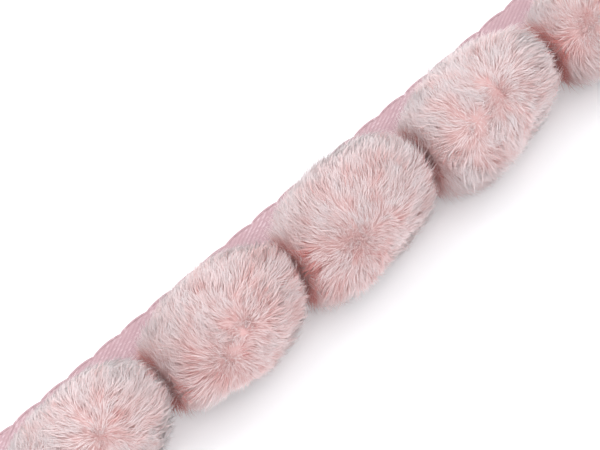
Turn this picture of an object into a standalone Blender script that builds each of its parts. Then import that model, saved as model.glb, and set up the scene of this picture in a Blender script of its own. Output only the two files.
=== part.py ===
"""Pompom fringe trim: a woven tape that lies flat, with a row of fur pompoms sewn along its front edge.

The trim runs along X. The tape is at +Y, the pompoms stand at -Y, and everything rests on z = 0.
"""

import math
import random

import bmesh
import bpy
from mathutils import Euler, Vector, noise

MM = 0.001

# The row of pompoms: each one fills its own stretch of the trim and is pressed a little onto the ground
POMPOM_PITCH = 40.0 * MM
POMPOM_DIAMETER = 28.0 * MM
POMPOM_AXIS_Y = -4.5 * MM
PRESSED_DEPTH = 1.0 * MM
END_SQUARENESS = 3.0
NEIGHBOUR_GAP = 0.3 * MM

# The pile: tapered locks that grow from a solid heart. Each station of a lock has its share of the length
# and its width as a share of the root's
HEART_SHARE = 0.76
LOCK_STATIONS = ((0.40, 0.97), (0.80, 0.80), (1.0, 0.38))
LOCK_LEAN = 0.9 * MM
LEAN_SPREAD = 0.5
LENGTH_SPREAD = 0.05
LUMP_HEIGHT = 0.07
LUMPS_ACROSS = 2.2

# The tape: its front edge is tucked under the pompoms, its back edge is scalloped and lifts in ripples
TAPE_WIDTH = 20.0 * MM
TAPE_THICKNESS = 1.1 * MM
TAPE_BACK_Y = 18.5 * MM
TAPE_END_MARGIN = 5.0 * MM
TAPE_ROWS = (0.0, 0.7, 0.87, 1.0)
FLAT_SHARE = TAPE_ROWS[1]
SCALLOPS_PER_POMPOM = 5
SCALLOP_DEPTH = 0.55 * MM
SCALLOP_STEPS = 6
RIPPLE_LIFT = 0.5 * MM
RIPPLE_SPREAD = 0.3
RIPPLE_CHANGE = 68.0 * MM
TOUCH_GAP = 0.3 * MM

# One row for each pompom, from the -X end: how it differs from its neighbours
POMPOM_COLUMNS = ("name", "girth", "turn_deg", "lean_x", "seed")
POMPOM_TABLE = (
    ("pompom_1", 0.98, 3.0, 0.10, 11),
    ("pompom_2", 1.00, -3.0, -0.05, 23),
    ("pompom_3", 1.01, 5.0, 0.12, 37),
    ("pompom_4", 1.00, -4.0, 0.15, 41),
    ("pompom_5", 0.97, 4.0, -0.08, 59),
)

# Sizes that follow from the ones above
POMPOM_RADIUS = POMPOM_DIAMETER / 2
POMPOM_REACH = POMPOM_PITCH / 2 - NEIGHBOUR_GAP / 2
SCALLOP_PITCH = POMPOM_PITCH / SCALLOPS_PER_POMPOM
TAPE_FRONT_Y = TAPE_BACK_Y - TAPE_WIDTH
TAPE_LENGTH = POMPOM_PITCH * len(POMPOM_TABLE) + 2 * TAPE_END_MARGIN
TAPE_REST_Z = TAPE_THICKNESS + TOUCH_GAP

TAPE_COLOUR = (0.68, 0.45, 0.49)
TAPE_ROUGHNESS = 0.55
PILE_COLOUR = (0.70, 0.55, 0.55)
PILE_ROUGHNESS = 0.9


def clear_scene():
    for item in list(bpy.data.objects):
        bpy.data.objects.remove(item, do_unlink=True)


def make_material(name, colour, roughness):
    material = bpy.data.materials.new(name)
    material.use_nodes = True
    shader = material.node_tree.nodes["Principled BSDF"]
    shader.inputs["Base Color"].default_value = (*colour, 1.0)
    shader.inputs["Roughness"].default_value = roughness
    shader.inputs["Metallic"].default_value = 0.0
    return material


def add_object(name, mesh_data, collection, material):
    mesh = bpy.data.meshes.new(name)
    mesh_data.to_mesh(mesh)
    mesh_data.free()
    mesh.materials.append(material)
    item = bpy.data.objects.new(name, mesh)
    collection.objects.link(item)
    return item


def scallop_drop(x):
    """How far the back edge falls short of the full width at this place along the tape."""
    across = 2 * ((x / SCALLOP_PITCH) % 1.0) - 1
    return SCALLOP_DEPTH * (1 - math.sqrt(1 - across * across))


def edge_ripple(x):
    """How far the back edge lifts off the ground, once a scallop, more in some places than in others."""
    wave = 0.5 - 0.5 * math.cos(math.tau * x / SCALLOP_PITCH)
    strength = 1 - RIPPLE_SPREAD + RIPPLE_SPREAD * math.sin(math.tau * x / RIPPLE_CHANGE)
    return RIPPLE_LIFT * wave * strength


def build_tape(collection):
    """A flat woven strip, lifted and scalloped only in its back third."""
    columns = round(TAPE_LENGTH / SCALLOP_PITCH * SCALLOP_STEPS)
    rows = len(TAPE_ROWS) - 1
    bm = bmesh.new()
    bmesh.ops.create_grid(bm, x_segments=columns, y_segments=rows, size=0.5)
    for vertex in bm.verts:
        x = vertex.co.x * TAPE_LENGTH
        share = TAPE_ROWS[round((vertex.co.y + 0.5) * rows)]
        y = TAPE_FRONT_Y + share * TAPE_WIDTH
        if share == TAPE_ROWS[-1]:
            y -= scallop_drop(x)
        lift_share = max(0.0, (share - FLAT_SHARE) / (1 - FLAT_SHARE)) ** 1.5
        vertex.co = Vector((x, y, edge_ripple(x) * lift_share))
    tape = add_object("tape", bm, collection, make_material("woven_tape", TAPE_COLOUR, TAPE_ROUGHNESS))
    wall = tape.modifiers.new("thickness", "SOLIDIFY")
    wall.thickness = TAPE_THICKNESS
    wall.offset = 1.0


def sixty_faces():
    """A ball of sixty almost equal triangles, one for each lock."""
    bm = bmesh.new()
    bmesh.ops.create_icosphere(bm, subdivisions=1, radius=1.0)
    first_edges = list(bm.edges)
    bmesh.ops.poke(bm, faces=list(bm.faces))
    bmesh.ops.rotate_edges(bm, edges=first_edges, use_ccw=False)
    for vertex in bm.verts:
        vertex.co.normalize()
    return bm


def pile_radius(direction, girth):
    """Distance from the pompom's middle to the ends of its pile: a round link with blunt ends."""
    lengthwise = abs(direction.x) / POMPOM_REACH
    around = math.hypot(direction.y, direction.z) / (POMPOM_RADIUS * girth)
    return (lengthwise**END_SQUARENESS + around**END_SQUARENESS) ** (-1 / END_SQUARENESS)


def free_length(direction, row):
    """How long a lock grows in this direction before its neighbours stop it."""
    lump = noise.noise(direction * LUMPS_ACROSS + Vector((row["seed"], 0, 0)))
    reach = pile_radius(direction, row["girth"]) * (1 + LUMP_HEIGHT * lump)
    return min(reach, POMPOM_REACH / max(abs(direction.x), MM))


def grow_lock(bm, face, middle, row, chance):
    """Draw one face of the heart outwards in tapering steps, and level it on what it rests on."""
    root_points = [vertex.co.copy() for vertex in face.verts]
    root = sum(root_points, Vector()) / len(root_points)
    half_width = max((point - root).length for point in root_points)
    direction = (root - middle).normalized()
    length = free_length(direction, row) * (1 - LENGTH_SPREAD * chance.random())
    over_tape = middle.y + direction.y * length + half_width > TAPE_FRONT_Y - TOUCH_GAP
    ground = TAPE_REST_Z if over_tape else 0.0
    pressed = middle.z + direction.z * length < ground
    if pressed:
        length = (middle.z - ground) / -direction.z
    end = middle + direction * length
    lean = Vector(chance.uniform(-LEAN_SPREAD, LEAN_SPREAD) for _ in range(3))
    lean.x += row["lean_x"]
    lean -= direction * lean.dot(direction)
    for along, width in LOCK_STATIONS:
        face = bmesh.ops.extrude_discrete_faces(bm, faces=[face])["faces"][0]
        centre = root.lerp(end, along) + lean * LOCK_LEAN * along * along
        for vertex, root_point in zip(face.verts, root_points):
            point = centre + (root_point - root) * width
            point.x = max(middle.x - POMPOM_REACH, min(middle.x + POMPOM_REACH, point.x))
            point.z = max(ground, point.z)
            vertex.co = point
    if pressed:
        for vertex in face.verts:
            vertex.co.z = ground


def build_pompom(row, centre_x, collection, material):
    """A heart the shape of a rounded link, with sixty locks drawn out of it."""
    middle = Vector((centre_x, POMPOM_AXIS_Y, POMPOM_RADIUS * row["girth"] - PRESSED_DEPTH))
    chance = random.Random(row["seed"])
    bm = sixty_faces()
    roll = chance.uniform(0, math.tau)
    twist = chance.uniform(0, math.radians(35))
    turn = Euler((roll, math.radians(row["turn_deg"]), twist))
    for vertex in bm.verts:
        direction = vertex.co.copy()
        direction.rotate(turn)
        vertex.co = middle + direction * pile_radius(direction, row["girth"]) * HEART_SHARE
    for face in list(bm.faces):
        grow_lock(bm, face, middle, row, chance)
    bmesh.ops.recalc_face_normals(bm, faces=list(bm.faces))
    bmesh.ops.triangulate(bm, faces=list(bm.faces))
    add_object(row["name"], bm, collection, material)


def build_trim():
    clear_scene()
    collection = bpy.data.collections.new("pompom_fringe_trim")
    bpy.context.scene.collection.children.link(collection)
    build_tape(collection)
    pile = make_material("fur_pile", PILE_COLOUR, PILE_ROUGHNESS)
    first_x = -POMPOM_PITCH * (len(POMPOM_TABLE) - 1) / 2
    for index, values in enumerate(POMPOM_TABLE):
        row = dict(zip(POMPOM_COLUMNS, values))
        build_pompom(row, first_x + index * POMPOM_PITCH, collection, pile)


build_trim()
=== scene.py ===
"""Pompom fringe trim: the dressed model of a woven tape with a row of fur pompoms along its front edge.

The trim runs along X. The tape is at +Y, the pompoms stand at -Y, and everything rests on z = 0.
"""

import math

import bmesh
import bpy
import numpy as np
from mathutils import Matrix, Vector, noise


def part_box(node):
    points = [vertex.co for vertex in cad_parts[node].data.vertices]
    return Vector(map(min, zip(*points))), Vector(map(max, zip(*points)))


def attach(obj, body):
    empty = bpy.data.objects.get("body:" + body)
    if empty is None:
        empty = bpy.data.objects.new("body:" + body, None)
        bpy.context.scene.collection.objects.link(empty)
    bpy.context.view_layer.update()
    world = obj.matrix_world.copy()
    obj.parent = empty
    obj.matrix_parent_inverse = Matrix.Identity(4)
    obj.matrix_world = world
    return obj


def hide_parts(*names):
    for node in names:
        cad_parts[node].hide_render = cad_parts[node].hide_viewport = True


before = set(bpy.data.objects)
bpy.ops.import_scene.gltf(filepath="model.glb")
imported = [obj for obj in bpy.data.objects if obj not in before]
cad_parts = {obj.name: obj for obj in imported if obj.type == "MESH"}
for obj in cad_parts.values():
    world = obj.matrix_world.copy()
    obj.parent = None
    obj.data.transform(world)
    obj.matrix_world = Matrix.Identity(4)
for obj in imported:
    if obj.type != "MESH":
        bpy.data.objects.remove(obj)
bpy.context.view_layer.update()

MM = 0.001

# The woven tape, the strip that is sewn into a seam. It is a soft viscose band about a millimetre thick, woven in
# four lengthwise bands whose fine ribs change direction from one to the next. The shuttle's turns draw its back edge
# in to shallow scallops, which also lift it a little off the table.
tape_low, tape_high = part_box("tape")
TAPE_LENGTH = tape_high.x - tape_low.x
TAPE_WIDTH = tape_high.y - tape_low.y
TAPE_THICKNESS = 1.1 * MM

# The back edge: its scallops and the ripples that lift it, and how far in from the edge each of them fades out
SCALLOP_PITCH = 8.0 * MM
SCALLOP_DEPTH = 0.55 * MM
SCALLOP_REACH = 2.6 * MM
RIPPLE_LIFT = 0.5 * MM
RIPPLE_REACH = 6.0 * MM
RIPPLE_FADING = 1.5
RIPPLE_SPREAD = 0.3
RIPPLE_CHANGE = 68.0 * MM

# The ribs: how far each one runs along the tape for its way across a band, and how many yarns it takes
YARN_STEP = 0.48 * MM
RIB_RELIEF = 0.022 * MM
WEAVE_BANDS = 4
BAND_WIDTH = TAPE_WIDTH / WEAVE_BANDS
BAND_ROW_SHARES = (0.0, 0.07, 0.3, 0.5, 0.7, 0.93)
SEAM_WIDTH = 0.3 * MM
SHALLOW_BAND = {"slope": 2.36, "yarns_per_rib": 4}
STEEP_BAND = {"slope": 0.30, "yarns_per_rib": 2}

# The selvedge, from the back edge inwards: a firm cord that slopes down, a fine groove, and then the ribs rise
SELVEDGE_ROWS_MM = (0.0, 0.16, 0.34, 0.52, 0.75)
SELVEDGE_CORD = 0.10 * MM
CORD_SLOPE = (0.10 * MM, 0.34 * MM)
SELVEDGE_GROOVE = 0.09 * MM
GROOVE_MIDDLE = 0.5 * MM
GROOVE_HALF_WIDTH = 0.2 * MM
RIB_RISE = (0.7 * MM, 1.3 * MM)

# The yarn's colours, from painted shade in the gaps between the ribs to painted glints on their crests and yarns,
# and how uneven they are
TAPE_PINK = (0.48, 0.308, 0.338, 1.0)
TAPE_DEEP_PINK_AND_GAP_SHADE = (0.39, 0.228, 0.26, 1.0)
TAPE_PAINTED_GLINT = (0.64, 0.48, 0.52, 1.0)
TAPE_COLOURS_AND_PAINTED_LIGHT = ((0.36, TAPE_DEEP_PINK_AND_GAP_SHADE), (0.62, TAPE_PINK), (0.82, TAPE_PINK), (0.98, TAPE_PAINTED_GLINT))
YARN_SPECKS = (1.3, 3.4, 1.0)
SPECK_HEIGHT = 0.9
RIB_HEIGHT = 0.45
BUMP_DEPTH = 0.045 * MM
CLOUDS_A_METRE = 160.0
CLOUD_TONE = 0.35
WEAVE_PAINTED_LIGHT = 0.75


def smooth_step(low, high, value):
    """0 below low, 1 above high, and a soft rise between them."""
    share = min(1.0, max(0.0, (value - low) / (high - low)))
    return share * share * (3 - 2 * share)


def scallop_drop(x):
    """How far the back edge falls short of the full width at this place along the tape."""
    across = 2 * ((x / SCALLOP_PITCH) % 1.0) - 1
    return SCALLOP_DEPTH * (1 - math.sqrt(1 - across * across))


def edge_ripple(x):
    """How far the back edge lifts off the table, once a scallop, more in some places than in others."""
    wave = 0.5 - 0.5 * math.cos(math.tau * x / SCALLOP_PITCH)
    return RIPPLE_LIFT * wave * (1 - RIPPLE_SPREAD + RIPPLE_SPREAD * math.sin(math.tau * x / RIPPLE_CHANGE))


def weave_rows():
    """Distance from the back edge of each row of the sheet, closest together at the selvedge and at the seams."""
    rows = [share * BAND_WIDTH + band * BAND_WIDTH for band in range(WEAVE_BANDS) for share in BAND_ROW_SHARES]
    rows += [row * MM for row in SELVEDGE_ROWS_MM] + [TAPE_WIDTH]
    return sorted(set(round(row, 6) for row in rows))


def band_at(inset):
    """The number of the band at this distance from the back edge, and its weave."""
    band = min(WEAVE_BANDS - 1, int(inset / BAND_WIDTH))
    return band, SHALLOW_BAND if band % 2 == 0 else STEEP_BAND


def yarn_shift(inset):
    """How far along the tape a yarn has moved by this distance from the back edge."""
    shift = 0.0
    for band in range(WEAVE_BANDS):
        weave = SHALLOW_BAND if band % 2 == 0 else STEEP_BAND
        shift -= weave["slope"] * min(BAND_WIDTH, max(0.0, inset - band * BAND_WIDTH))
    return shift


def selvedge_height(inset):
    """The raised cord of the edge and the groove beside it."""
    cord = SELVEDGE_CORD * (1 - smooth_step(*CORD_SLOPE, inset))
    groove = SELVEDGE_GROOVE * max(0.0, 1 - abs(inset - GROOVE_MIDDLE) / GROOVE_HALF_WIDTH)
    return cord - groove


def weave_tape():
    """A sheared grid whose columns follow the ribs, cut straight at both ends."""
    rows = weave_rows()
    spare = -yarn_shift(TAPE_WIDTH)
    columns = math.ceil((TAPE_LENGTH + spare) / YARN_STEP) + 2
    bm = bmesh.new()
    bmesh.ops.create_grid(bm, x_segments=columns, y_segments=len(rows) - 1, size=0.5)
    weave_map = bm.loops.layers.uv.new("weave")
    places = {}
    for vertex in bm.verts:
        column = round((vertex.co.x + 0.5) * columns)
        inset = rows[round((0.5 - vertex.co.y) * (len(rows) - 1))]
        places[vertex.index] = (column, inset)
        x = tape_low.x + (column - 1) * YARN_STEP + yarn_shift(inset)
        band, weave = band_at(inset)
        to_seam = min(inset - band * BAND_WIDTH, (band + 1) * BAND_WIDTH - inset)
        swell = smooth_step(0.0, SEAM_WIDTH, to_seam) * smooth_step(*RIB_RISE, inset)
        rib = RIB_RELIEF * swell * math.cos(math.tau * column / weave["yarns_per_rib"])
        y = tape_high.y - inset - scallop_drop(x) * (1 - smooth_step(0.0, SCALLOP_REACH, inset))
        lift_share = max(0.0, 1 - inset / RIPPLE_REACH) ** RIPPLE_FADING
        z = RIB_RELIEF + rib + edge_ripple(x) * lift_share + selvedge_height(inset)
        vertex.co = Vector((x, y, max(0.0, z)))
    for face in bm.faces:
        middle_inset = sum(places[vertex.index][1] for vertex in face.verts) / len(face.verts)
        yarns_per_rib = band_at(middle_inset)[1]["yarns_per_rib"]
        for loop in face.loops:
            column, inset = places[loop.vert.index]
            loop[weave_map].uv = (column / yarns_per_rib, inset / MM)
    for end_x, outward in ((tape_low.x, -1), (tape_high.x, 1)):
        everything = bm.verts[:] + bm.edges[:] + bm.faces[:]
        bmesh.ops.bisect_plane(
            bm, geom=everything, plane_co=(end_x, 0, 0), plane_no=(outward, 0, 0), clear_outer=True
        )
    return bm


def put_in_scene(name, bm_or_mesh, finish):
    """A finished mesh as an object of the scene, smooth shaded, with its one material."""
    mesh = bm_or_mesh
    if isinstance(bm_or_mesh, bmesh.types.BMesh):
        mesh = bpy.data.meshes.new(name)
        bm_or_mesh.to_mesh(mesh)
        bm_or_mesh.free()
    mesh.shade_smooth()
    mesh.materials.append(finish)
    piece = bpy.data.objects.new(name, mesh)
    bpy.context.scene.collection.objects.link(piece)
    return piece


def new_finish(name):
    """A material with one shader, and its node tree to build on."""
    finish = bpy.data.materials.new(name)
    finish.use_nodes = True
    tree = finish.node_tree
    return finish, tree, tree.nodes["Principled BSDF"]


def colour_steps(tree, factor, steps):
    """A colour ramp driven by factor. steps has rows of a position and a colour."""
    ramp = tree.nodes.new("ShaderNodeValToRGB")
    elements = ramp.color_ramp.elements
    while len(elements) < len(steps):
        elements.new(0.5)
    for element, (position, colour) in zip(elements, steps):
        element.position = position
        element.color = colour
    tree.links.new(factor, ramp.inputs["Fac"])
    return ramp.outputs["Color"]


def calculate(tree, operation, first, second=0.0, third=None):
    """A math node. Each input is a socket or a number."""
    node = tree.nodes.new("ShaderNodeMath")
    node.operation = operation
    for socket, value in zip(node.inputs, (first, second, third)):
        if isinstance(value, bpy.types.NodeSocket):
            tree.links.new(value, socket)
        elif value is not None:
            socket.default_value = value
    return node.outputs[0]


def cloudy_noise(tree, place, scale):
    """Soft noise in the places that a socket gives."""
    cloudy = tree.nodes.new("ShaderNodeTexNoise")
    cloudy.inputs["Scale"].default_value = scale
    cloudy.inputs["Detail"].default_value = 2.0
    tree.links.new(place, cloudy.inputs["Vector"])
    return cloudy.outputs["Fac"]


def tape_finish():
    """Viscose: ribs with painted glints on their crests and painted shade between them, single yarns crossing them.
    """
    finish, tree, shader = new_finish("woven_tape_viscose")
    weave = tree.nodes.new("ShaderNodeUVMap")
    weave.uv_map = "weave"
    parts = tree.nodes.new("ShaderNodeSeparateXYZ")
    tree.links.new(weave.outputs["UV"], parts.inputs[0])
    rib_turn = calculate(tree, "MULTIPLY", parts.outputs["X"], math.tau)
    rib = calculate(tree, "MULTIPLY_ADD", calculate(tree, "COSINE", rib_turn), 0.5, 0.5)
    yarn_place = tree.nodes.new("ShaderNodeMapping")
    yarn_place.inputs["Scale"].default_value = YARN_SPECKS
    tree.links.new(weave.outputs["UV"], yarn_place.inputs["Vector"])
    specks = cloudy_noise(tree, yarn_place.outputs["Vector"], 1.0)
    place = tree.nodes.new("ShaderNodeTexCoord")
    clouds = cloudy_noise(tree, place.outputs["Object"], CLOUDS_A_METRE)

    rib_part = calculate(tree, "MULTIPLY", rib, RIB_HEIGHT)
    height = calculate(tree, "MULTIPLY_ADD", specks, SPECK_HEIGHT, rib_part)
    # The relief of ribs and yarns is painted into the tone as well: painted shade where it is low, painted glints
    # where high.
    painted_rib_light = calculate(tree, "MULTIPLY", height, WEAVE_PAINTED_LIGHT)
    tone = calculate(tree, "MULTIPLY_ADD", clouds, CLOUD_TONE, painted_rib_light)
    tree.links.new(colour_steps(tree, tone, TAPE_COLOURS_AND_PAINTED_LIGHT), shader.inputs["Base Color"])
    shader.inputs["Roughness"].default_value = 0.5
    shader.inputs["Sheen Weight"].default_value = 0.15
    shader.inputs["Sheen Roughness"].default_value = 0.5
    bump = tree.nodes.new("ShaderNodeBump")
    bump.inputs["Distance"].default_value = BUMP_DEPTH
    bump.inputs["Strength"].default_value = 0.8
    tree.links.new(height, bump.inputs["Height"])
    tree.links.new(bump.outputs["Normal"], shader.inputs["Normal"])
    return finish


tape = put_in_scene("herringbone_tape", weave_tape(), tape_finish())
wall = tape.modifiers.new("thickness", "SOLIDIFY")
wall.thickness = TAPE_THICKNESS - 2 * RIB_RELIEF
wall.offset = 1.0
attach(tape, "root")
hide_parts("tape")

# The pompoms: long soft pile, fixed round a core thread that runs through the whole row and is sewn to the tape. Each
# one is a rounded link, as long as the pitch, with fibres brushed away from a few partings. Their roots are deep rose
# and their tips pale. All pile is cut acrylic plush, and a neighbour flattens it at the ends.
POMPOM_PITCH = 40.0 * MM
POMPOM_RADIUS = 14.0 * MM
POMPOM_REACH = 19.85 * MM
POMPOM_AXIS_Y = -4.5 * MM
PRESSED_DEPTH = 1.0 * MM
END_SQUARENESS = 3.0
END_FULLNESS = 0.080
FULL_END_FROM = 0.72
FULL_END_RISE = 0.26
LUMP_HEIGHT = 0.05
LUMPS_ACROSS = 2.2

# One row for each pompom, from the -X end: its thickness as a share of the usual one, a number of its own for its
# fur, how strongly painted crease shade turns the tips rose at its -X and its +X end, where a neighbour meets it, and
# how much paler it is
POMPOM_COLUMNS = ("name", "girth", "seed", "crease_shade_low", "crease_shade_high", "paler")
POMPOM_TABLE = (
    ("pompom_1", 0.98, 11, 0.0, 0.85, 0.02),
    ("pompom_2", 1.00, 23, 0.92, 0.85, -0.06),
    ("pompom_3", 1.01, 37, 0.92, 0.85, 0.02),
    ("pompom_4", 1.00, 41, 0.92, 0.85, 0.08),
    ("pompom_5", 0.97, 59, 0.92, 0.0, 0.0),
)
# The partings of each pompom: the way to it from the middle, and how strongly the pile turns away from it
PARTING_TABLE = {
    "pompom_1": (
        (-0.20, -0.40, 0.90, 0.6), (-0.98, 0.05, -0.05, 0.6), (0.30, 0.95, -0.10, 0.1),
        (0.40, 0.20, -0.85, 0.6),
    ),
    "pompom_2": (
        (-0.65, -0.65, 0.40, 0.7), (-0.10, -0.60, 0.80, 0.6), (-0.98, 0.05, -0.05, 0.6),
        (-0.30, 0.95, -0.10, 0.1), (0.50, 0.30, -0.80, 0.6),
    ),
    "pompom_3": (
        (-0.66, -0.56, 0.49, 1.1), (-0.05, -0.72, 0.68, 0.3), (-0.98, 0.05, -0.05, 0.6),
        (0.30, 0.95, -0.10, 0.1), (0.30, 0.40, -0.80, 0.6),
    ),
    "pompom_4": (
        (0.03, -0.40, 0.91, 0.8), (-0.70, -0.38, 0.60, 0.4), (-0.98, 0.05, -0.05, 0.6),
        (-0.10, 0.97, -0.10, 0.1), (-0.40, 0.20, -0.85, 0.6),
    ),
    "pompom_5": (
        (-0.80, -0.30, 0.50, 0.8), (0.50, -0.70, 0.40, 0.4), (-0.98, 0.05, -0.05, 0.6),
        (0.20, 0.97, -0.10, 0.1), (0.10, 0.40, -0.90, 0.6),
    ),
}
# Where a pompom is pressed in from its even shape, or bulges where the depth is negative: the way to it, how deep
# as a share of its size, and how wide
DENT_TABLE = {
    "pompom_1": ((0.67, -0.74, 0.00, 0.19, 0.8),),
    "pompom_2": (
        (0.15, 0.85, 0.50, -0.05, 0.6), (0.67, -0.74, 0.00, 0.21, 0.7), (-0.50, -0.55, -0.64, 0.30, 0.5),
        (-0.05, -0.86, -0.51, 0.05, 0.6), (-0.88, -0.42, 0.20, -0.05, 0.4),
    ),
    "pompom_3": (
        (0.00, 0.87, 0.50, -0.07, 0.6), (0.63, -0.78, -0.05, 0.26, 0.7), (-0.44, -0.64, -0.63, 0.04, 0.6),
        (-0.05, -0.86, -0.51, 0.11, 0.6), (-0.88, -0.42, 0.20, -0.05, 0.4), (-0.80, -0.25, -0.55, -0.07, 0.4),
    ),
    "pompom_4": (
        (0.15, 0.85, 0.50, -0.04, 0.6), (0.67, -0.74, 0.00, 0.30, 0.7), (-0.40, -0.60, -0.70, 0.05, 0.6),
        (-0.05, -0.86, -0.51, 0.09, 0.6), (-0.88, -0.42, 0.20, -0.05, 0.4), (-0.80, -0.25, -0.55, -0.07, 0.4),
    ),
    "pompom_5": ((-0.88, -0.42, 0.20, -0.05, 0.4), (-0.40, -0.60, -0.70, 0.13, 0.6)),
}

# Each coat of fibres: how many, where they start and end as a share of the pompom's size, how far round the pompom
# they lean in degrees, how thick they are in the middle, and how much paler they are than the rest
COAT_COLUMNS = ("fibres", "root", "tip_low", "tip_high", "lean_deg", "radius", "tone")
COAT_TABLE = (
    (7500, 0.82, 0.885, 0.925, 12.0, 0.065 * MM, -0.05),
    (18000, 0.82, 0.910, 0.950, 16.0, 0.052 * MM, 0.0),
    (5400, 0.81, 0.925, 0.980, 15.0, 0.040 * MM, 0.05),
)
LEAN_SPREAD = (0.8, 1.2)
TIP_JITTER = 0.045
STRAY_LENGTH = 0.10
STRAY_RARENESS = 5

# A fibre: its thickest place, how far round that place has leant, and how its three sides turn and catch the light
BELLY_ALONG = 0.62
BELLY_LEAN = 0.45
THICKNESS_SPREAD = (0.7, 1.25)
FIBRE_ROLL = 0.35
FIBRE_ROUNDNESS = 0.7
PLUSH_TILT = 0.7
FIBRE_FACES = ((2, 1, 0), (1, 2, 4), (3, 2, 0), (2, 3, 4), (1, 3, 0), (3, 1, 4))
FIBRE_POINTS = 5

# The dense heart that the fibres stand in, and where its colour lies between root and tip, a little deeper in the
# partings as painted shade
HEART_SUBDIVISIONS = 4
HEART_SHARE = 0.84
HEART_ALONG = 0.42
HEART_ALONG_WITH_PARTING_SHADE = 0.38
HEART_SHADE = 0.5

# The brushing: partings with upright and denser pile in them, and swirls, each so many across and so strong
PARTING_WIDTH = 0.26
PARTING_SOFTNESS = 0.06
PARTING_DEPTH = 0.03
PARTING_FILL = 1.6
PARTING_UPRIGHTNESS = 0.95
MIXED_FLATNESS = 0.65
SWIRLS = ((2.0, 0.9), (4.5, 0.9), (11.0, 0.45))
PLACES_A_ROOT = 6
LEAST_FACING = 0.3

# The tufts that fibres draw together in: how many, how strongly, and how much their lengths differ
BIG_TUFTS = 420
BIG_TUFT_PULL = 0.20
BIG_TUFT_LENGTH = 0.017
SMALL_TUFTS = 3400
SMALL_TUFT_PULL = 0.04
SMALL_TUFT_LENGTH = 0.007
PULL_SPREAD = (0.5, 1.3)

# Where the pile is stopped: by the table, by the tape and by the next pompom, each a little unevenly
PILE_GROUND_GAP = 0.05 * MM
TAPE_TOP = TAPE_THICKNESS + 0.1 * MM
TAPE_MARGIN = 0.3 * MM
LYING_DEPTH = 0.25 * MM
END_OVERLAP = 0.3 * MM
END_UNEVENNESS = 0.7 * MM

# The colours of a fibre from root to tip, the shade that every fibre starts from, and what makes it deeper or paler:
# random patches, spots and streaks, painted light on the upper back side, and painted shade in partings and at ends
ROOT_ROSE = (0.62, 0.20, 0.18, 1.0)
DEEP_ROSE = (0.67, 0.385, 0.37, 1.0)
MIDDLE_PINK = (0.745, 0.565, 0.56, 1.0)
TIP_PINK = (0.75, 0.66, 0.665, 1.0)
PILE_COLOURS = ((0.0, ROOT_ROSE), (0.30, DEEP_ROSE), (0.62, MIDDLE_PINK), (0.98, TIP_PINK))
USUAL_SHADE = 0.46
SHADE_EFFECT = 0.60
PATCHES_ACROSS = (3.0, 9.0)
PATCH_SHADE = 0.36
SPOT_FROM = 0.25
SPOT_DEPTH = 1.2
STREAKS_ACROSS = 34.0
STREAK_LENGTH = 0.22
STREAK_STEPS = 6
STREAK_STRENGTH = 2.5
STREAK_SHADE = 0.14
# Painted light and shade: paler toward the upper back side, and a little deeper in the partings
PAINTED_LIT_SIDE = (0.0, 0.60, 0.80)
PAINTED_LIT_SIDE_FROM = 0.3
PAINTED_LIT_SIDE_STRENGTH = 0.14
PARTING_PAINTED_SHADE = 0.03
TUFT_SHADE = 0.06
FIBRE_SHADE = 0.06
SHADE_WIDTH = 0.01
MAP_MARGIN = 0.002

# Painted shade in the creases where neighbours meet: the way to each end, and how squarely a place faces it where the
# painted rose tips start, where they are fully rose, and where the wider and fainter painted shade about them starts
# and is full
CREASE_SHADE_SIDES = {"crease_shade_low": (-0.98, 0.13, -0.12), "crease_shade_high": (0.98, 0.13, -0.12)}
CREASE_SHADE_FROM = 0.860
CREASE_SHADE_FULLY = 0.905
END_PAINTED_SHADE = 0.06
END_PAINTED_SHADE_FROM = 0.7
END_PAINTED_SHADE_FULLY = 0.9


def unit(vectors):
    """The same directions with length 1."""
    return vectors / np.maximum(np.linalg.norm(vectors, axis=1, keepdims=True), 1e-9)


def way_to(x, y, z):
    """The direction with these parts, with length 1."""
    return np.array((x, y, z)) / math.hypot(x, y, z)


def noise_at(places, across, shift):
    """Soft noise at each place, so many swells across and shifted to a part of its own."""
    return np.array([noise.noise(Vector(place) * across + Vector(shift)) for place in places.tolist()])


def share_between(low, high, values):
    """0 below low, 1 above high, and an even rise between them."""
    return np.clip((values - low) / (high - low), 0, 1)


def pile_radius(direction, girth):
    """Distance from the pompom's middle to the ends of its pile: a round link with blunt ends."""
    lengthwise = np.abs(direction[:, 0]) / POMPOM_REACH
    around = np.hypot(direction[:, 1], direction[:, 2]) / (POMPOM_RADIUS * girth)
    return (lengthwise**END_SQUARENESS + around**END_SQUARENESS) ** (-1 / END_SQUARENESS)


def lumps(direction, row):
    """Soft hills and hollows over the pompom and the dents of its table, as a factor of its size."""
    size = 1 + LUMP_HEIGHT * noise_at(direction, LUMPS_ACROSS, (row["seed"], 0, 0))
    for x, y, z, depth, width in DENT_TABLE[row["name"]]:
        facing = direction @ way_to(x, y, z)
        size -= depth * np.exp(-((np.arccos(np.clip(facing, -1, 1)) / width) ** 2))
    endwise = np.clip((np.abs(direction[:, 0]) - FULL_END_FROM) / FULL_END_RISE, 0, 1)
    return size + END_FULLNESS * endwise**2 * (3 - 2 * endwise)


def parting_openness(direction, row):
    """How open a parting each place stands in, from 0 to 1 in its middle."""
    nearest = np.full(len(direction), math.pi)
    for x, y, z, strength in PARTING_TABLE[row["name"]]:
        facing = direction @ way_to(x, y, z)
        nearest = np.minimum(nearest, np.arccos(np.clip(facing, -1, 1)) / strength)
    return np.exp(-((nearest / PARTING_WIDTH) ** 2))


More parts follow.
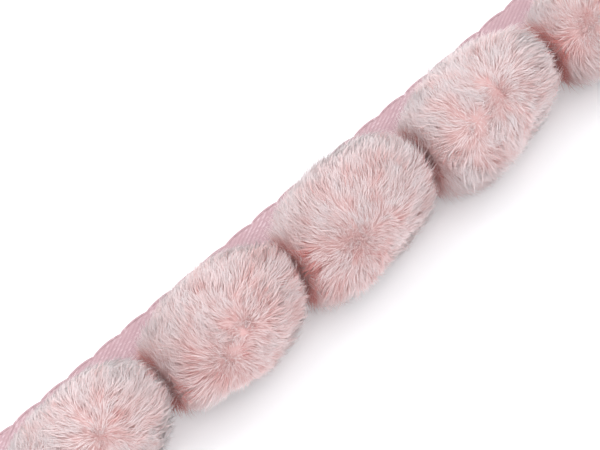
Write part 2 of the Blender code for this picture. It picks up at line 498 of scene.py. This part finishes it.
def spread_roots(count, row, chance):
    """Directions of fibre roots, evenly spread over the pompom's surface but denser where a parting would be bald."""
    candidates = unit(chance.normal(size=(count * PLACES_A_ROOT, 3)))
    reach = pile_radius(candidates, row["girth"])
    stretched = candidates * reach[:, None]
    steepness = np.abs(stretched / (POMPOM_REACH, POMPOM_RADIUS, POMPOM_RADIUS)) ** (END_SQUARENESS - 1)
    facing = np.abs(np.sum(unit(np.sign(stretched) * steepness) * candidates, axis=1))
    area = reach**2 / np.maximum(facing, LEAST_FACING)
    area *= 1 + PARTING_FILL * parting_openness(candidates, row)
    return candidates[chance.choice(len(candidates), size=count, replace=False, p=area / area.sum())]


def brushing(direction, row):
    """The way the pile is brushed at each place, longer where it is brushed hard, and how flat it lies there."""
    flow = np.zeros_like(direction)
    pushes = np.zeros(len(direction))
    for x, y, z, strength in PARTING_TABLE[row["name"]]:
        parting = way_to(x, y, z)
        facing = direction @ parting
        angle = np.arccos(np.clip(facing, -1, 1))
        away = unit(direction * facing[:, None] - parting)
        push = strength / (angle**2 + PARTING_SOFTNESS)
        settled = 1 - np.exp(-((angle / PARTING_WIDTH) ** 2))
        flow += away * (push * settled)[:, None]
        pushes += push
    agreement = np.linalg.norm(flow, axis=1) / pushes
    flow = unit(flow)
    for across, strength in SWIRLS:
        shift = Vector((row["seed"], 7, across))
        swirl = [noise.noise_vector(Vector(values) * across + shift) for values in direction.tolist()]
        flow += strength * np.array(swirl)
    flow -= direction * np.sum(flow * direction, axis=1, keepdims=True)
    flatness = 1 - PARTING_UPRIGHTNESS * parting_openness(direction, row)
    return flow, flatness * (MIXED_FLATNESS + (1 - MIXED_FLATNESS) * agreement)


def gather(tips, roots, tufts, pull, chance):
    """Draw the tips together in tufts, each round one of its own fibres."""
    leaders = chance.choice(len(roots), size=tufts, replace=False)
    nearest = np.argmax(roots @ roots[leaders].T, axis=1)
    share = pull * chance.uniform(*PULL_SPREAD, size=(len(roots), 1))
    return unit(tips * (1 - share) + tips[leaders[nearest]] * share), nearest


def patches(direction, row):
    """Soft patches of deeper and paler pile, from -1 to 1, with deeper spots in the deepest."""
    value = np.zeros(len(direction))
    for across in PATCHES_ACROSS:
        value += noise_at(direction, across, (row["seed"], 3, across))
    return value - SPOT_DEPTH * np.maximum(0, -value - SPOT_FROM)


def streaks(direction, flow, row):
    """Long streaks of deeper and paler pile that follow the brushing, about from -1 to 1."""
    value = np.zeros(len(direction))
    for step in range(STREAK_STEPS):
        place = unit(direction - flow * (STREAK_LENGTH * step / STREAK_STEPS)) * STREAKS_ACROSS
        value += noise_at(place, 1.0, (row["seed"], 5, 0))
    return value * (STREAK_STRENGTH / STREAK_STEPS)


def laid_down(points, middle, chance):
    """Bend what would reach into the table, the tape or the next pompom, and let it lie on it."""
    points = points.copy()
    floor = np.where(points[:, 1] > tape_low.y - TAPE_MARGIN, TAPE_TOP, PILE_GROUND_GAP)
    floor = floor + chance.uniform(0, LYING_DEPTH, len(points))
    points[:, 2] = np.maximum(points[:, 2], floor)
    reach = POMPOM_REACH + END_OVERLAP - chance.uniform(0, END_UNEVENNESS, len(points))
    points[:, 0] = middle[0] + np.clip(points[:, 0] - middle[0], -reach, reach)
    return points


def painted_crease_shade(tips, row):
    """Painted crease shade: how far the rose of the roots is painted onto the tips where a neighbour meets the
    pompom.
    """
    rose = np.zeros(len(tips))
    for end, way in CREASE_SHADE_SIDES.items():
        rose += row[end] * share_between(CREASE_SHADE_FROM, CREASE_SHADE_FULLY, tips @ way)
    return rose


def pile_shades(coat, tips, flow, openness, row):
    """Fibre shade, deep 0 to pale 1: painted light on the upper back, painted shade in partings and at crowded ends.
    """
    # Painted shade: a little deeper in the partings.
    shade = USUAL_SHADE + coat["tone"] + row["paler"] - PARTING_PAINTED_SHADE * openness
    shade += PATCH_SHADE * patches(tips, row)
    shade += STREAK_SHADE * streaks(tips, flow, row)
    # Painted light: paler on the upper back side, where the light falls, and deeper away from it.
    shade += PAINTED_LIT_SIDE_STRENGTH * (tips @ PAINTED_LIT_SIDE - PAINTED_LIT_SIDE_FROM)
    # Painted shade, wide and faint, at the ends that a neighbour meets.
    for end, way in CREASE_SHADE_SIDES.items():
        shade -= END_PAINTED_SHADE * row[end] * share_between(END_PAINTED_SHADE_FROM, END_PAINTED_SHADE_FULLY, tips @ way)
    return shade


def grow_coat(coat, row, middle, chance):
    """A coat's fibres: roots, bellies and tips, how far each runs from rose to pale under painted crease shade, and
    its shade.
    """
    count = coat["fibres"]
    roots = spread_roots(count, row, chance)
    flow, flatness = brushing(roots, row)
    openness = parting_openness(roots, row)
    lean = np.radians(coat["lean_deg"]) * flatness * chance.uniform(*LEAN_SPREAD, count)
    tips = roots * np.cos(lean)[:, None] + unit(flow) * np.sin(lean)[:, None]
    tips, big = gather(tips, roots, BIG_TUFTS, BIG_TUFT_PULL, chance)
    tips, small = gather(tips, roots, SMALL_TUFTS, SMALL_TUFT_PULL, chance)
    tips = unit(tips + chance.normal(scale=TIP_JITTER, size=tips.shape))
    tuft_length = chance.normal(scale=BIG_TUFT_LENGTH, size=BIG_TUFTS)[big]
    tuft_length += chance.normal(scale=SMALL_TUFT_LENGTH, size=SMALL_TUFTS)[small]
    length = chance.uniform(coat["tip_low"], coat["tip_high"], count) + tuft_length
    length += STRAY_LENGTH * chance.random(count) ** STRAY_RARENESS

    tip_reach = pile_radius(tips, row["girth"]) * lumps(tips, row) * length
    root_share = coat["root"] - PARTING_DEPTH * openness
    root_reach = pile_radius(roots, row["girth"]) * lumps(roots, row) * root_share
    bellies = unit(roots * (1 - BELLY_LEAN) + tips * BELLY_LEAN)
    belly_reach = root_reach * (1 - BELLY_ALONG) + tip_reach * BELLY_ALONG
    stations = [middle + roots * root_reach[:, None]]
    stations.append(laid_down(middle + bellies * belly_reach[:, None], middle, chance))
    stations.append(laid_down(middle + tips * tip_reach[:, None], middle, chance))

    shade = pile_shades(coat, tips, flow, openness, row)
    shade += chance.normal(scale=TUFT_SHADE, size=SMALL_TUFTS)[small]
    shade += chance.normal(scale=FIBRE_SHADE, size=count)
    return stations, 1 - painted_crease_shade(tips, row), shade


def spindles(stations, radius, middle, chance):
    """Closed three-sided fibres, thickest at their belly: their corners, triangles, ways along and soft normals."""
    root, belly, tip = stations
    count = len(root)
    axis = unit(tip - root)
    outward = unit(tip - middle)
    along_fibre = axis * np.sum(outward * axis, axis=1, keepdims=True)
    inward = unit(along_fibre - outward)
    roll = chance.normal(scale=FIBRE_ROLL, size=(count, 1))
    side = inward * np.cos(roll) + np.cross(axis, inward) * np.sin(roll)
    other = np.cross(axis, side)
    thickness = (radius * chance.uniform(*THICKNESS_SPREAD, count))[:, None]
    plush = unit(outward - along_fibre * PLUSH_TILT)
    corners = [root]
    normals = [plush]
    for corner in range(3):
        turn = math.tau * corner / 3
        around = side * math.cos(turn) + other * math.sin(turn)
        corners.append(belly + around * thickness)
        normals.append(unit(plush + around * FIBRE_ROUNDNESS))
    corners.append(tip)
    normals.append(plush)
    starts = (np.arange(count) * FIBRE_POINTS)[:, None, None]
    return {
        "points": np.stack(corners, axis=1).reshape(-1, 3),
        "normals": np.stack(normals, axis=1).reshape(-1, 3),
        "triangles": (starts + np.array(FIBRE_FACES)[None]).reshape(-1, 3),
        "along": np.tile((0.0, BELLY_ALONG, BELLY_ALONG, BELLY_ALONG, 1.0), count),
    }


def heart(row, middle):
    """The dense ground of the pile that the fibres grow from."""
    bm = bmesh.new()
    bmesh.ops.create_icosphere(bm, subdivisions=HEART_SUBDIVISIONS, radius=1.0)
    directions = unit(np.array([vertex.co[:] for vertex in bm.verts]))
    triangles = np.array([[vertex.index for vertex in face.verts] for face in bm.faces])
    bm.free()
    openness = parting_openness(directions, row)
    share = HEART_SHARE - PARTING_DEPTH * openness
    reach = pile_radius(directions, row["girth"]) * lumps(directions, row) * share
    points = middle + directions * reach[:, None]
    points[:, 2] = np.maximum(points[:, 2], TAPE_TOP)
    return {
        "points": points,
        "normals": unit(points - middle),
        "triangles": triangles,
        # Painted shade: the heart's colour is a little deeper in the partings.
        "along": HEART_ALONG + (HEART_ALONG_WITH_PARTING_SHADE - HEART_ALONG) * openness,
        "shade": np.full(len(points), HEART_SHADE),
    }


def joined_mesh(name, batches):
    """One mesh of many separate closed fibres, with the map along each fibre and across the shades of yarn."""
    points = np.concatenate([batch["points"] for batch in batches])
    starts = np.cumsum([0] + [len(batch["points"]) for batch in batches])
    triangles = np.concatenate([batch["triangles"] + start for batch, start in zip(batches, starts)])
    along = np.concatenate([batch["along"] for batch in batches])
    shade = np.concatenate([batch["shade"] for batch in batches])
    corners = triangles.ravel()
    mesh = bpy.data.meshes.new(name)
    mesh.vertices.add(len(points))
    mesh.vertices.foreach_set("co", points.astype(np.float32).ravel())
    mesh.loops.add(len(corners))
    mesh.loops.foreach_set("vertex_index", corners.astype(np.int32))
    mesh.polygons.add(len(triangles))
    mesh.polygons.foreach_set("loop_start", np.arange(0, len(corners), 3, dtype=np.int32))
    mesh.update(calc_edges=True)
    yarn_map = mesh.uv_layers.new(name="OFBake")
    corner_width = np.tile((-0.5, 0.5, 0.0), len(triangles)) * SHADE_WIDTH
    place = np.stack((along[corners], shade[corners] + corner_width), axis=1)
    place = np.clip(place, MAP_MARGIN, 1 - MAP_MARGIN)
    yarn_map.uv.foreach_set("vector", place.astype(np.float32).ravel())
    mesh.shade_smooth()
    mesh.normals_split_custom_set_from_vertices(np.concatenate([batch["normals"] for batch in batches]))
    return mesh


def pile_finish():
    """Soft dull fibres, deep rose at the root and nearly white at the tip, each a little darker or paler."""
    finish, tree, shader = new_finish("fur_pile_fibres")
    yarn_map = tree.nodes.new("ShaderNodeUVMap")
    yarn_map.uv_map = "OFBake"
    parts = tree.nodes.new("ShaderNodeSeparateXYZ")
    tree.links.new(yarn_map.outputs["UV"], parts.inputs[0])
    place = calculate(tree, "MULTIPLY_ADD", parts.outputs["Y"], SHADE_EFFECT, parts.outputs["X"])
    place = calculate(tree, "SUBTRACT", place, SHADE_EFFECT / 2)
    tree.links.new(colour_steps(tree, place, PILE_COLOURS), shader.inputs["Base Color"])
    shader.inputs["Roughness"].default_value = 0.75
    shader.inputs["Specular IOR Level"].default_value = 0.25
    shader.inputs["Sheen Weight"].default_value = 0.5
    shader.inputs["Sheen Roughness"].default_value = 0.5
    return finish


fur = pile_finish()
first_x = -POMPOM_PITCH * (len(POMPOM_TABLE) - 1) / 2
for index, values in enumerate(POMPOM_TABLE):
    row = dict(zip(POMPOM_COLUMNS, values))
    chance = np.random.default_rng(row["seed"])
    noise.seed_set(row["seed"])
    axis_height = POMPOM_RADIUS * row["girth"] - PRESSED_DEPTH
    middle = np.array((first_x + index * POMPOM_PITCH, POMPOM_AXIS_Y, axis_height))
    batches = [heart(row, middle)]
    for coat_values in COAT_TABLE:
        coat = dict(zip(COAT_COLUMNS, coat_values))
        stations, along_after_crease_shade, shade = grow_coat(coat, row, middle, chance)
        fibres = spindles(stations, coat["radius"], middle, chance)
        # Painted crease shade: beside a neighbour a fibre's colour stops short of its pale tip.
        fibres["along"] *= np.repeat(along_after_crease_shade, FIBRE_POINTS)
        fibres["shade"] = np.repeat(shade, FIBRE_POINTS)
        batches.append(fibres)
    pile_name = row["name"] + "_pile"
    pile = put_in_scene(pile_name, joined_mesh(pile_name, batches), fur)
    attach(pile, "root")
    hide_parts(row["name"])

# The table that the trim lies on and the light of the picture: a white sheet, an even white surround, and two broad
# soft lights from the trim's -X end, one beyond the tape and one on the pompoms' side. Both stand high, so that the
# pile shows few dark gaps and the shadows fall softly in front of the pompoms.
TABLE_SIZE = 12.0
TABLE_GAP = 0.02 * MM
TABLE_WHITE = (0.93, 0.93, 0.94, 1.0)
SURROUND_WHITE = (0.98, 0.985, 1.0, 1.0)
SURROUND_STRENGTH = 1.35
LIGHT_COLUMNS = ("name", "place", "size", "power")
LIGHT_TABLE = (
    ("window", (-0.60, 0.75, 1.15), 1.0, 6.0),
    ("reflector", (-0.85, -0.75, 1.15), 1.2, 7.0),
)

sheet = bmesh.new()
bmesh.ops.create_grid(sheet, x_segments=1, y_segments=1, size=TABLE_SIZE / 2)
bmesh.ops.translate(sheet, vec=(0, 0, -TABLE_GAP), verts=sheet.verts)
table_finish, table_tree, table_shader = new_finish("white_table")
table_shader.inputs["Base Color"].default_value = TABLE_WHITE
table_shader.inputs["Roughness"].default_value = 0.9
table_shader.inputs["Specular IOR Level"].default_value = 0.0
table = put_in_scene("white_table", sheet, table_finish)

surround = bpy.data.worlds.new("white_surround")
surround.use_nodes = True
surround_light = surround.node_tree.nodes["Background"]
surround_light.inputs["Color"].default_value = SURROUND_WHITE
surround_light.inputs["Strength"].default_value = SURROUND_STRENGTH
bpy.context.scene.world = surround

for values in LIGHT_TABLE:
    row = dict(zip(LIGHT_COLUMNS, values))
    light = bpy.data.lights.new(row["name"], "AREA")
    light.shape = "DISK"
    light.size = row["size"]
    light.energy = row["power"]
    light_object = bpy.data.objects.new(row["name"], light)
    light_object.location = row["place"]
    light_object.rotation_mode = "QUATERNION"
    light_object.rotation_quaternion = (-Vector(row["place"])).to_track_quat("-Z", "Y")
    bpy.context.scene.collection.objects.link(light_object)

# The camera: a long lens that looks down at the row from the corner of its pompom side. The row crosses its picture
# from the lower left to the upper right, and both of its ends lie outside it.
CAMERA_AZIMUTH_DEG = 47.9
CAMERA_ELEVATION_DEG = 50.0
CAMERA_DISTANCE = 1.6
CAMERA_LENS_MM = 464.5
CAMERA_SENSOR_MM = 36.0
CAMERA_TARGET = Vector((-6.92, 5.13, 10.0)) * MM

azimuth = math.radians(CAMERA_AZIMUTH_DEG)
elevation = math.radians(CAMERA_ELEVATION_DEG)
look = Vector((
    math.sin(azimuth) * math.cos(elevation),
    math.cos(azimuth) * math.cos(elevation),
    -math.sin(elevation),
))
camera = bpy.data.cameras.new("camera")
camera.lens = CAMERA_LENS_MM
camera.sensor_width = CAMERA_SENSOR_MM
camera.clip_start = 0.05
camera.clip_end = 40.0
camera_object = bpy.data.objects.new("camera", camera)
camera_object.location = CAMERA_TARGET - look * CAMERA_DISTANCE
camera_object.rotation_mode = "QUATERNION"
camera_object.rotation_quaternion = look.to_track_quat("-Z", "Y")
bpy.context.scene.collection.objects.link(camera_object)
bpy.context.scene.camera = camera_object
bpy.context.scene.view_settings.view_transform = "Standard"
